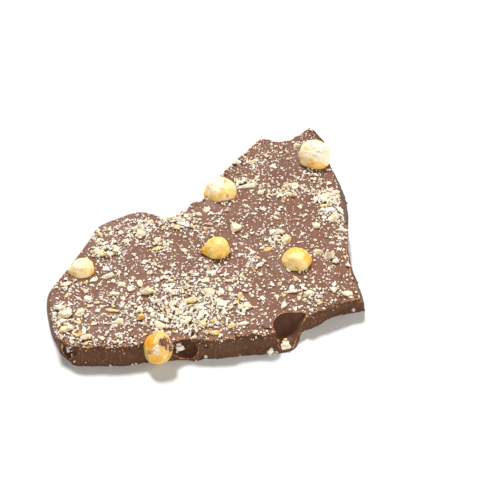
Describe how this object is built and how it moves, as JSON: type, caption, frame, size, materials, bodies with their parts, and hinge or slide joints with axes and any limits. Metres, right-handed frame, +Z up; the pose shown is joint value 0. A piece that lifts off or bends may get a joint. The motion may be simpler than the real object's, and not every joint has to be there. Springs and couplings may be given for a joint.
{
  "type": "chocolate bark shard",
  "caption": "Broken shard of milk-chocolate bark set with whole blanched hazelnuts and strewn with chopped nut, lying flat with its sprinkled side up.",
  "frame": {"origin": "under the middle of the whole part, on the flat face that it rests on", "axes": "+Z up out of the sprinkled top, +Y along the longest extent to the far corner, +X to the right of the long front break"},
  "size_m": [0.1318, 0.1493, 0.018],
  "materials": {
    "milk_chocolate": "satin milk chocolate, matt and darker where it broke",
    "hazelnut": "blanched hazelnut with a thin oily sheen",
    "chopped_nut": "dry chopped nut"
  },
  "bodies": {
    "root": {"bark_slab": "milk_chocolate", "hazelnut_left_edge": "hazelnut", "hazelnut_pointed": "hazelnut", "hazelnut_back_edge": "hazelnut", "hazelnut_top_corner": "hazelnut", "hazelnut_right": "hazelnut", "hazelnut_front_break": "hazelnut"}
  },
  "joints": []
}
